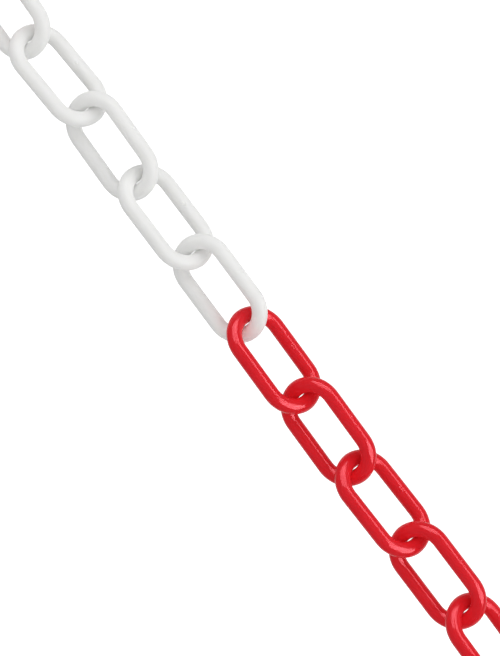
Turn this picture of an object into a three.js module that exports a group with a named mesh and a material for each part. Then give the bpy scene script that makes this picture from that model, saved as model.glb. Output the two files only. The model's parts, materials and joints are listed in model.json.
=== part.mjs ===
// A length of plastic barrier chain: twenty closed oval links in blocks of red and white, laid straight on a
// flat surface. Millimetres, +Z up, +X along the chain. The origin is on the surface, under the chain's middle.
//
// Each link is one moulding: a round bar bent to a stadium, two half-circle ends joined by two straight sides.
// Neighbours hook through each other and roll alternately left and right, so each rests on one of its sides.

import * as THREE from "three";

// Driving dimensions
const BAR = 6; // diameter of the round bar
const LINK_LENGTH = 45.85; // over the outside of a link
const LINK_WIDTH = 26;
const PLAY = 0.3; // gap between two hooked end bars
const LINKS = 20;
const BLOCK = 5; // links of one colour before the colour changes
const ROLL = THREE.MathUtils.degToRad(33); // how far a lying link's plane leans from the surface
const SWING_LEAN = THREE.MathUtils.degToRad(39); // how far the axis on which the next link swings leans

// How far each link is turned in plan, in degrees. A chain pulled straight keeps a few small kinks.
const TURNS = [1, -0.5, 0.5, -1, 0.5, -2, 2.5, -1.5, 0, -0.5, -1, -1, 1, 0, -1, 1, -0.5, 0.5, -0.5, 0.5];

// Facets of the round forms
const BAR_SIDES = 12;
const END_STEPS = 10;

const END_RADIUS = (LINK_WIDTH - BAR) / 2; // of the bar's centre line round an end
const REACH = (LINK_LENGTH - BAR) / 2; // from a link's centre to the centre of an end bar
const HALF_SIDE = REACH - END_RADIUS; // half the length of a straight side
const PITCH = 2 * REACH - BAR - PLAY; // from one link's centre to the next's

const FINISHES = {
  red: { color: 0xd8202a, roughness: 0.28, metalness: 0 },
  white: { color: 0xf2f2f0, roughness: 0.34, metalness: 0 },
};

// One link, centred on its own origin, its long way along X and its plane in XY.
function linkGeometry() {
  const positions = [];
  for (const end of [0, 1]) {
    const endCentre = end === 0 ? HALF_SIDE : -HALF_SIDE;
    for (let step = 0; step <= END_STEPS; step++) {
      const bend = Math.PI * (step / END_STEPS - 0.5 + end);
      for (let side = 0; side < BAR_SIDES; side++) {
        const around = (2 * Math.PI * side) / BAR_SIDES;
        const radius = END_RADIUS + (BAR / 2) * Math.cos(around);
        const height = (BAR / 2) * Math.sin(around);
        positions.push(endCentre + radius * Math.cos(bend), radius * Math.sin(bend), height);
      }
    }
  }

  const rings = 2 * (END_STEPS + 1);
  const vertex = (ring, side) => (ring % rings) * BAR_SIDES + (side % BAR_SIDES);
  const index = [];
  for (let ring = 0; ring < rings; ring++) {
    for (let side = 0; side < BAR_SIDES; side++) {
      const near = vertex(ring, side);
      const far = vertex(ring + 1, side);
      const nearNext = vertex(ring, side + 1);
      const farNext = vertex(ring + 1, side + 1);
      index.push(near, far, farNext, near, farNext, nearNext);
    }
  }

  const geometry = new THREE.BufferGeometry();
  geometry.setAttribute("position", new THREE.Float32BufferAttribute(positions, 3));
  geometry.setIndex(index);
  geometry.computeVertexNormals();
  return geometry;
}

// The hinge on which the next link swings: round this link's far end bar. Neighbouring axes lean opposite ways,
// so the chain bends in every direction. The axes change sign in pairs, so equal angles fold it to and fro.
function nextHinge(link, number, lean, turn) {
  const sign = number % 4 < 2 ? 1 : -1;
  const axis = new THREE.Vector3(0, sign, 0)
    .applyAxisAngle(new THREE.Vector3(1, 0, 0), lean * SWING_LEAN)
    .applyAxisAngle(new THREE.Vector3(0, 0, 1), turn);
  const point = new THREE.Vector3(REACH, 0, 0).applyEuler(link.rotation).add(link.position);
  return { point, axis };
}

function buildChain() {
  const chain = new THREE.Group();
  const geometry = linkGeometry();
  const height = BAR / 2 + END_RADIUS * Math.sin(ROLL);
  for (let number = 0; number < LINKS; number++) {
    const lean = number % 2 === 0 ? -1 : 1;
    const turn = THREE.MathUtils.degToRad(TURNS[number]);
    const colour = Math.floor(number / BLOCK) % 2 === 0 ? "red" : "white";
    const link = new THREE.Mesh(geometry, new THREE.MeshStandardMaterial(FINISHES[colour]));
    link.name = `link_${String(number + 1).padStart(2, "0")}_${colour}`;
    link.rotation.set(lean * ROLL, 0, turn, "ZYX");
    link.position.set(number * PITCH, 0, height);
    link.userData.nextHinge = nextHinge(link, number, lean, turn);
    chain.add(link);
  }
  return chain;
}

// Stands the chain on z = 0 with the origin under the middle of its box.
function centreOnOrigin(chain) {
  const box = new THREE.Box3().setFromObject(chain, true);
  const middle = box.getCenter(new THREE.Vector3());
  const shift = new THREE.Vector3(-middle.x, -middle.y, -box.min.z);
  for (const link of chain.children) {
    link.position.add(shift);
    link.userData.nextHinge.point.add(shift);
  }
}

const chain = buildChain();
centreOnOrigin(chain);

export default chain;
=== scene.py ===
"""A length of red and white plastic barrier chain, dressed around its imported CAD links.

Each CAD link is replaced by a fine mesh of the same moulding: a round bar bent to a stadium, with the
parting line of the mould and the cut-off stub of its gate. Lengths are in metres unless a name says mm.
"""

import json
import math

import bpy
import numpy as np
from mathutils import Matrix, Vector

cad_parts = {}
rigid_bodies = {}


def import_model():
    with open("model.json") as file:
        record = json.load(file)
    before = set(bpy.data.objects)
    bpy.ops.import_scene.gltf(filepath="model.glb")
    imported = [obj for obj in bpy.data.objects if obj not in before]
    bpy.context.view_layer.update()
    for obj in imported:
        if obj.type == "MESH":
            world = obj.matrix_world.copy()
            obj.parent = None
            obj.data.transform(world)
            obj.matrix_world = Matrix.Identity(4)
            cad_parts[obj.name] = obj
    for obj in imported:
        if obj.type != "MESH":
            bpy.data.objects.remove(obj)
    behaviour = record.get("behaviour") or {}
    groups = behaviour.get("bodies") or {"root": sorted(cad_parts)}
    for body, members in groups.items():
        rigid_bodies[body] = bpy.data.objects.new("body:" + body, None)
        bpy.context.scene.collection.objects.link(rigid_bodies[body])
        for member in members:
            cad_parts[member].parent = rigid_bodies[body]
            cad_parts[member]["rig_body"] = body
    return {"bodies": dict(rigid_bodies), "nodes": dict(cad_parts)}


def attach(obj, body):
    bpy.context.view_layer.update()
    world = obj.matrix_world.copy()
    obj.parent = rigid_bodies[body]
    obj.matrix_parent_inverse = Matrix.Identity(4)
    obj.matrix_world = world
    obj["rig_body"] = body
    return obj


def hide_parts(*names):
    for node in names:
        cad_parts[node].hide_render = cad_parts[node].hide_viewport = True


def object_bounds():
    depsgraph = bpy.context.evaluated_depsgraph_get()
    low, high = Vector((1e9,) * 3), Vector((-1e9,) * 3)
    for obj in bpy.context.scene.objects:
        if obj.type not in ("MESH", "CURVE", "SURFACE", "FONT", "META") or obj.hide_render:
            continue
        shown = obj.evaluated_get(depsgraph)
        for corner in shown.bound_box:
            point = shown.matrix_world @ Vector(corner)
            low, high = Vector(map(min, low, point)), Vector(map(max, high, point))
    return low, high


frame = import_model()
cad_low, cad_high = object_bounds()

MM = 0.001

# The moulding
BAR_SIDES = 56  # even steps round the bar
END_STEPS = 36  # rings round each half-circle end
SIDE_STEPS = 12  # rings along each half of a straight side, beyond the gate
SEAM_HEIGHT = 0.05 * MM  # the ridge left where the mould's halves meet
SEAM_HALF_WIDTH = 0.16 * MM
SEAM_LINES = (-1, -0.45, 0, 0.45, 1)  # mesh lines across the ridge, in half widths
GATE_RADIUS = 0.85 * MM  # the stub left where the plastic came in
GATE_HEIGHT = 0.24 * MM
GATE_EDGE = 0.35  # how much of the stub's radius its slope takes
GATE_TEAR = 0.25  # how uneven its torn top is
GATE_DISH = 0.06 * MM  # the shallow dish round the stub
GATE_DISH_REACH = 1.35  # in stub radii
GATE_DISH_EDGE = 0.3
GATE_REACH = 1.25 * MM  # half the patch of fine mesh that holds the stub
GATE_STEPS = 17  # mesh lines across that patch

# Where the stub sits round the bar of the +wide side, from straight outward towards the link's normal.
# By turns it is close to the outer edge of a link, and past the bar's top, towards the inside.
GATE_ANGLES = (math.radians(17), math.radians(118))


# ---------------------------------------------------------------- links


class Link:
    """Place and size of one CAD link, from its mesh: long along the chain, normal upward, wide across."""

    def __init__(self, node):
        points = np.array([v.co for v in node.data.vertices], float).reshape(-1, 3)
        self.centre = points.mean(0)
        _, _, axes = np.linalg.svd(points - self.centre, full_matrices=False)
        self.long = axes[0] * np.sign(axes[0][0])
        self.normal = axes[2] * np.sign(axes[2][2])
        self.wide = np.cross(self.normal, self.long)
        local = (points - self.centre) @ np.stack([self.long, self.wide, self.normal], 1)
        length, width, bar = local.max(0) - local.min(0)
        self.bar_radius = bar / 2
        self.end_radius = (width - bar) / 2
        self.half_side = length / 2 - self.bar_radius - self.end_radius

    def place(self, local):
        return self.centre + local @ np.stack([self.long, self.wide, self.normal])


def smooth_step(x):
    x = np.clip(x, 0, 1)
    return x * x * (3 - 2 * x)


def around_angles(link, gate_angle):
    """Angles of the mesh lines along the bar: even ones, with finer ones at the seams and the gate."""
    seam = SEAM_HALF_WIDTH / link.bar_radius
    patch = GATE_REACH / link.bar_radius
    lines = [np.arange(BAR_SIDES) * 2 * math.pi / BAR_SIDES]
    for seam_angle in (0.0, math.pi):
        lines.append(seam_angle + seam * np.array(SEAM_LINES))
    lines.append(gate_angle + np.linspace(-patch, patch, GATE_STEPS))
    angles = np.sort(np.concatenate(lines) % (2 * math.pi))
    closest = seam * 0.3  # lines nearer than this to the one before are left out
    kept = [angles[0]]
    for angle in angles[1:]:
        if angle - kept[-1] > closest:
            kept.append(angle)
    return np.array(kept)


def centre_line(link):
    """Points along the middle of the bar, in the link's plane: place, outward direction, length so far."""
    r, h = link.end_radius, link.half_side
    patch = np.linspace(-GATE_REACH, GATE_REACH, GATE_STEPS)
    beyond = np.linspace(GATE_REACH, h, SIDE_STEPS + 1)[1:]
    side = np.concatenate([-beyond[::-1], patch, beyond])  # both meeting points with the ends included
    rows = []
    for x in side[::-1]:  # the side at +wide, from +long to -long
        rows.append((x, r, 0.0, 1.0))
    for k in range(1, END_STEPS):
        t = math.pi / 2 + math.pi * k / END_STEPS
        rows.append((-h + r * math.cos(t), r * math.sin(t), math.cos(t), math.sin(t)))
    for x in side:
        rows.append((x, -r, 0.0, -1.0))
    for k in range(1, END_STEPS):
        t = -math.pi / 2 + math.pi * k / END_STEPS
        rows.append((h + r * math.cos(t), r * math.sin(t), math.cos(t), math.sin(t)))
    rows = np.array(rows)
    steps = np.linalg.norm(np.diff(rows[:, :2], axis=0), axis=1)
    return rows[:, :2], rows[:, 2:], np.concatenate([[0], np.cumsum(steps)])


def seam_relief(link, angles):
    """Height of the parting ridges over the bar, for each angle round it."""
    off_seam = np.abs((angles + math.pi / 2) % math.pi - math.pi / 2)
    return SEAM_HEIGHT * smooth_step(1 - off_seam * link.bar_radius / SEAM_HALF_WIDTH)


def gate_relief(link, angles, line, outward, gate_angle):
    """Height of the gate's stub and its dish, for each ring and angle. It is 0 away from the gate."""
    on_gate_side = (outward[:, 1] > 0) & (np.abs(outward[:, 0]) < 1e-9)
    off_angle = (angles - gate_angle + math.pi) % (2 * math.pi) - math.pi
    far_off = 1.0
    x = np.where(on_gate_side, line[:, 0], far_off)[:, None] / GATE_RADIUS
    y = (off_angle * link.bar_radius)[None, :] / GATE_RADIUS
    away = np.hypot(x, y)
    stub = smooth_step((1 - away) / GATE_EDGE)
    torn = 1 + GATE_TEAR * np.sin(2.1 * x + 1.0) * np.cos(3.0 * y)
    dish = smooth_step((GATE_DISH_REACH - away) / GATE_DISH_EDGE) * (1 - stub)
    return GATE_HEIGHT * stub * torn - GATE_DISH * dish


def build_link(name, link, gate_angle):
    """The moulding as a mesh. Every angle round the bar runs from outward towards the link's normal."""
    angles = around_angles(link, gate_angle)
    line, outward, along = centre_line(link)
    rings, sides = len(line), len(angles)
    smooth_bar = link.bar_radius - SEAM_HEIGHT
    radius = smooth_bar + seam_relief(link, angles) + gate_relief(link, angles, line, outward, gate_angle)

    cos_a, sin_a = np.cos(angles)[None, :], np.sin(angles)[None, :]
    local = np.empty((rings, sides, 3))
    local[..., 0] = line[:, :1] + radius * cos_a * outward[:, :1]
    local[..., 1] = line[:, 1:] + radius * cos_a * outward[:, 1:]
    local[..., 2] = radius * sin_a

    faces = []
    for i in range(rings):
        j = (i + 1) % rings
        for a in range(sides):
            b = (a + 1) % sides
            faces.append((i * sides + a, j * sides + a, j * sides + b, i * sides + b))
    mesh = bpy.data.meshes.new(name)
    mesh.from_pydata(link.place(local.reshape(-1, 3)).tolist(), [], faces)

    # Each point's place if the bar were pulled out straight, for the lines that run along it
    straight = np.empty((rings, sides, 3), np.float32)
    straight[..., 0] = link.bar_radius * cos_a
    straight[..., 1] = link.bar_radius * sin_a
    straight[..., 2] = along[:, None]
    stored = mesh.attributes.new("straight_bar", "FLOAT_VECTOR", "POINT")
    stored.data.foreach_set("vector", straight.reshape(-1))
    mesh.validate()
    mesh.shade_smooth()
    return bpy.data.objects.new(name, mesh)


# ---------------------------------------------------------------- materials

# How coarse each noise is, in cells per metre
MOTTLE_SCALE = 90  # slow change of colour
GRAIN_SCALE = 900  # change of gloss
PEEL_SCALE = 1500  # unevenness of the surface
POLISH_SCALE = 2600  # the mould's polishing lines, along the bar
POLISH_STRETCH = 0.06  # their scale along the bar, as a share of that across it
POLISH_DEPTH = 0.4  # as a share of the peel's depth


def plastic(name, colour, pale, roughness, relief, scatter, scatter_depth, specular, tint):
    """Moulded plastic. Scatter is the weight of the light inside, and the reach of red, green and blue."""
    material = bpy.data.materials.new(name)
    material.use_nodes = True
    nodes, links = material.node_tree.nodes, material.node_tree.links
    shader = nodes["Principled BSDF"]
    place = nodes.new("ShaderNodeTexCoord").outputs["Object"]
    bar = nodes.new("ShaderNodeAttribute")
    bar.attribute_name = "straight_bar"

    def noise(vector, scale, detail, rough=0.5):
        n = nodes.new("ShaderNodeTexNoise")
        n.inputs["Scale"].default_value = scale
        n.inputs["Detail"].default_value = detail
        n.inputs["Roughness"].default_value = rough
        links.new(vector, n.inputs["Vector"])
        return n.outputs["Fac"]

    def ramp(value, low, high, from_low=0.3, from_high=0.7):
        m = nodes.new("ShaderNodeMapRange")
        m.inputs["From Min"].default_value = from_low
        m.inputs["From Max"].default_value = from_high
        m.inputs["To Min"].default_value = low
        m.inputs["To Max"].default_value = high
        links.new(value, m.inputs["Value"])
        return m.outputs["Result"]

    stretch = nodes.new("ShaderNodeMapping")
    stretch.inputs["Scale"].default_value = (1, 1, POLISH_STRETCH)
    links.new(bar.outputs["Vector"], stretch.inputs["Vector"])

    mottle = noise(place, MOTTLE_SCALE, 3)
    grain = noise(place, GRAIN_SCALE, 4, 0.6)
    lines = noise(stretch.outputs["Vector"], POLISH_SCALE, 3, 0.6)
    peel = noise(place, PEEL_SCALE, 2)

    mix = nodes.new("ShaderNodeMix")
    mix.data_type = "RGBA"
    mix.inputs["A"].default_value = (*colour, 1)
    mix.inputs["B"].default_value = (*pale, 1)
    links.new(ramp(mottle, 0.0, 1.0), mix.inputs["Factor"])
    links.new(mix.outputs["Result"], shader.inputs["Base Color"])

    rough_mix = nodes.new("ShaderNodeMath")
    rough_mix.operation = "ADD"
    links.new(ramp(grain, -0.03, 0.04), rough_mix.inputs[0])
    links.new(ramp(lines, roughness - 0.03, roughness + 0.03), rough_mix.inputs[1])
    links.new(rough_mix.outputs[0], shader.inputs["Roughness"])

    height = nodes.new("ShaderNodeMath")
    height.operation = "MULTIPLY_ADD"
    links.new(lines, height.inputs[0])
    height.inputs[1].default_value = POLISH_DEPTH
    links.new(peel, height.inputs[2])
    bump = nodes.new("ShaderNodeBump")
    bump.inputs["Strength"].default_value = 1.0
    bump.inputs["Distance"].default_value = relief
    links.new(height.outputs[0], bump.inputs["Height"])
    links.new(bump.outputs["Normal"], shader.inputs["Normal"])

    shader.inputs["IOR"].default_value = 1.5
    shader.inputs["Specular IOR Level"].default_value = specular
    shader.inputs["Specular Tint"].default_value = (*tint, 1)
    weight, reach = scatter
    shader.inputs["Subsurface Weight"].default_value = weight
    shader.inputs["Subsurface Radius"].default_value = reach
    shader.inputs["Subsurface Scale"].default_value = scatter_depth
    return material


red_plastic = plastic(
    "red_plastic",
    colour=(0.74, 0.0165, 0.0250),
    pale=(0.78, 0.0195, 0.0290),
    roughness=0.10,
    relief=0.009 * MM,
    scatter=(0.3, (1.0, 0.15, 0.12)),
    scatter_depth=2.0 * MM,
    specular=0.5,
    tint=(1.0, 0.31, 0.37),
)
white_plastic = plastic(
    "white_plastic",
    colour=(0.82, 0.82, 0.81),
    pale=(0.85, 0.85, 0.84),
    roughness=0.5,
    relief=0.025 * MM,
    scatter=(1.0, (1.0, 1.0, 0.97)),
    scatter_depth=3.5 * MM,
    specular=0.15,
    tint=(1.0, 1.0, 1.0),
)
finishes = {"red": ("red_plastic", red_plastic), "white": ("white_plastic", white_plastic)}

for number, body in enumerate(sorted(frame["bodies"]), 1):
    node_name = next(n for n, o in frame["nodes"].items() if o["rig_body"] == body)
    node = frame["nodes"][node_name]
    slot, material = finishes[node_name.split("_")[-1]]
    piece = build_link(node_name + "_moulded", Link(node), GATE_ANGLES[number % 2])
    piece.data.materials.append(material)
    bpy.context.scene.collection.objects.link(piece)
    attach(piece, body)
    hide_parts(node_name)


# ---------------------------------------------------------------- stage, light and camera

FLOOR_DROP = 0.75  # the floor is lower than the whole chain reaches when it hangs from its first link
FLOOR_SIZE = 60.0
FLOOR_GLOW = 0.84  # its own light, which keeps it white without a shadow, as in the photograph
LAYER_GAP = 0.001  # from the floor that the camera sees down to the one that lights the chain


def plane(name, size, height, colour, emission):
    """A level square on the stage, matt, in one grey, with its own light."""
    mesh = bpy.data.meshes.new(name)
    s = size / 2
    mesh.from_pydata([(-s, -s, height), (s, -s, height), (s, s, height), (-s, s, height)], [], [(0, 1, 2, 3)])
    material = bpy.data.materials.new(name)
    material.use_nodes = True
    shader = material.node_tree.nodes["Principled BSDF"]
    shader.inputs["Base Color"].default_value = (colour, colour, colour, 1)
    shader.inputs["Roughness"].default_value = 0.9
    shader.inputs["Specular IOR Level"].default_value = 0.0
    shader.inputs["Emission Color"].default_value = (1, 1, 1, 1)
    shader.inputs["Emission Strength"].default_value = emission
    mesh.materials.append(material)
    made = bpy.data.objects.new(name, mesh)
    bpy.context.scene.collection.objects.link(made)
    return made


# The camera sees only the floor. Light that bounces up to the chain comes only from the table top.
floor = plane("floor", FLOOR_SIZE, -FLOOR_DROP, 0.5, FLOOR_GLOW)
floor.visible_diffuse = floor.visible_glossy = floor.visible_shadow = floor.visible_transmission = False
table_top = plane("table_top", FLOOR_SIZE, -FLOOR_DROP - LAYER_GAP, 0.7, 0.0)
table_top.visible_camera = False

# How the camera is turned, and the picture's up and right on the floor
CAMERA_TURN = math.radians(52.91)
PICTURE_RIGHT = Vector((math.cos(CAMERA_TURN), math.sin(CAMERA_TURN), 0))
PICTURE_UP = Vector((-math.sin(CAMERA_TURN), math.cos(CAMERA_TURN), 0))

BOX_DISTANCE = 2.0  # of the softboxes that only reflections see
FILL_DISTANCE = 1.5  # of the lamps that light the colour
FILL_WIDTH, FILL_HEIGHT = 3.0, 1.5


def toward(azimuth, elevation, distance):
    """A point that far from the origin. The azimuth, in degrees, runs from the picture's up to its right."""
    a, e = math.radians(azimuth), math.radians(elevation)
    flat = PICTURE_UP * math.cos(a) + PICTURE_RIGHT * math.sin(a)
    return (flat * math.cos(e) + Vector((0, 0, math.sin(e)))) * distance


def softbox(name, place, width, height, radiance):
    """A rectangular lamp that faces the origin and that the camera doesn't see."""
    data = bpy.data.lights.new(name, "AREA")
    data.shape = "RECTANGLE"
    data.size, data.size_y = width, height
    data.energy = radiance * math.pi * width * height
    lamp = bpy.data.objects.new(name, data)
    lamp.location = place
    lamp.rotation_mode = "QUATERNION"
    lamp.rotation_quaternion = place.to_track_quat("Z", "Y")
    bpy.context.scene.collection.objects.link(lamp)
    lamp.visible_camera = False
    return lamp


# Softboxes that make the highlights. They are seen only in reflections, and their sides are in degrees.
for name, azimuth, elevation, wide, high, radiance in (
    ("far_softbox", -11, 48, 42, 44, 5.8),
    ("right_softbox", 112, 41, 44, 52, 8.3),
    ("joining_strip", 52, 41, 66, 22, 6.4),
):
    width, height = (2 * BOX_DISTANCE * math.tan(math.radians(span / 2)) for span in (wide, high))
    lamp = softbox(name, toward(azimuth, elevation, BOX_DISTANCE), width, height, radiance)
    lamp.visible_diffuse = False

# Lamps that light the plastic's own colour. They cast no shadow and make no highlight.
for name, azimuth, elevation, radiance in (
    ("overhead", 0, 90, 0.62),
    ("key", 45, 40, 0.80),
    ("right_fill", 105, 10, 0.78),
    ("near_fill", 165, 10, 0.62),
    ("left_fill", -135, 20, 0.22),
    ("far_left_fill", -75, 20, 0.48),
    ("far_fill", -15, 20, 0.50),
):
    lamp = softbox(name, toward(azimuth, elevation, FILL_DISTANCE), FILL_WIDTH, FILL_HEIGHT, radiance)
    lamp.visible_glossy = False
    lamp.data.use_shadow = False

# The world lights the chain with a grey and looks white beyond the floor's edge.
WORLD_GREY = 0.22
world = bpy.data.worlds.new("studio")
bpy.context.scene.world = world
world.use_nodes = True
tree = world.node_tree
background = tree.nodes["Background"]
background.inputs["Color"].default_value = (WORLD_GREY, WORLD_GREY, WORLD_GREY, 1)
seen = tree.nodes.new("ShaderNodeBackground")
seen.inputs["Color"].default_value = (1, 1, 1, 1)
path = tree.nodes.new("ShaderNodeLightPath")
either = tree.nodes.new("ShaderNodeMixShader")
tree.links.new(path.outputs["Is Camera Ray"], either.inputs["Fac"])
tree.links.new(background.outputs[0], either.inputs[1])
tree.links.new(seen.outputs[0], either.inputs[2])
tree.links.new(either.outputs[0], tree.nodes["World Output"].inputs["Surface"])

bpy.context.scene.view_settings.view_transform = "Standard"

CAMERA_DISTANCE = 1.0
CAMERA_TILT = math.radians(2.0)
CAMERA_LEAN = math.radians(2.39)
SEEN_HEIGHT = 245.2 * MM
SEEN_CENTRE = Vector((1.84 * MM, 0.06 * MM, (cad_low.z + cad_high.z) / 2))

camera_data = bpy.data.cameras.new("camera")
camera_data.sensor_width = 36  # mm
camera_data.lens = camera_data.sensor_width * CAMERA_DISTANCE / SEEN_HEIGHT
camera_data.clip_start, camera_data.clip_end = 0.05, 100
camera = bpy.data.objects.new("camera", camera_data)
bpy.context.scene.collection.objects.link(camera)
bpy.context.scene.camera = camera
turn = (
    Matrix.Rotation(CAMERA_LEAN, 4, "Y")
    @ Matrix.Rotation(CAMERA_TILT, 4, "X")
    @ Matrix.Rotation(CAMERA_TURN, 4, "Z")
)
camera.matrix_world = Matrix.Translation(SEEN_CENTRE + turn.to_3x3() @ Vector((0, 0, CAMERA_DISTANCE))) @ turn
